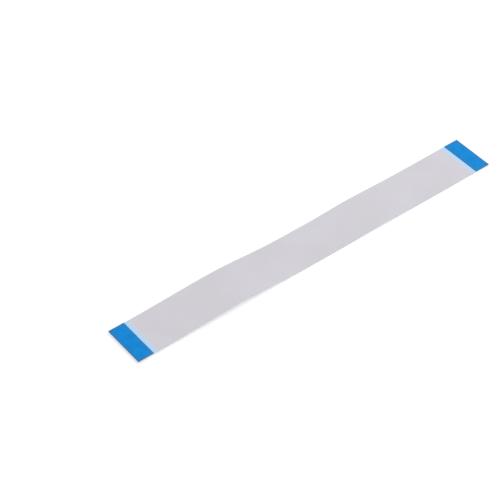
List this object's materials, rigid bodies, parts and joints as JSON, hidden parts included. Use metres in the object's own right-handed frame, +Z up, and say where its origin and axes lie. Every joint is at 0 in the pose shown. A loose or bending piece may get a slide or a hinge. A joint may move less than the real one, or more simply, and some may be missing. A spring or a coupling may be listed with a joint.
{
  "type": "ribbon cable",
  "caption": "Flat flexible ribbon cable: flat tinned conductors laminated between two pale films, with bare contacts under each end and a blue stiffener on top of each.",
  "frame": {"origin": "middle of the cable on the surface that it rests on", "axes": "+X along the cable, +Y across it, +Z up, away from the contacts"},
  "size_m": [0.2, 0.022, 0.0021],
  "materials": {
    "top_film": "satin polyester film",
    "bottom_film": "satin polyester film",
    "stiffener": "smooth polyester tape",
    "conductor": "tin plated"
  },
  "bodies": {
    "root": {"top_film": "top_film", "bottom_film": "bottom_film", "stiffener_left": "stiffener", "stiffener_right": "stiffener", "conductor_01": "conductor", "conductor_02": "conductor", "conductor_03": "conductor", "conductor_04": "conductor", "conductor_05": "conductor", "conductor_06": "conductor", "conductor_07": "conductor", "conductor_08": "conductor", "conductor_09": "conductor", "conductor_10": "conductor", "conductor_11": "conductor", "conductor_12": "conductor", "conductor_13": "conductor", "conductor_14": "conductor", "conductor_15": "conductor", "conductor_16": "conductor", "conductor_17": "conductor", "conductor_18": "conductor", "conductor_19": "conductor", "conductor_20": "conductor", "conductor_21": "conductor", "conductor_22": "conductor", "conductor_23": "conductor", "conductor_24": "conductor", "conductor_25": "conductor", "conductor_26": "conductor", "conductor_27": "conductor", "conductor_28": "conductor", "conductor_29": "conductor", "conductor_30": "conductor", "conductor_31": "conductor", "conductor_32": "conductor", "conductor_33": "conductor", "conductor_34": "conductor", "conductor_35": "conductor", "conductor_36": "conductor", "conductor_37": "conductor", "conductor_38": "conductor", "conductor_39": "conductor", "conductor_40": "conductor", "conductor_41": "conductor", "conductor_42": "conductor", "conductor_43": "conductor"}
  },
  "joints": []
}
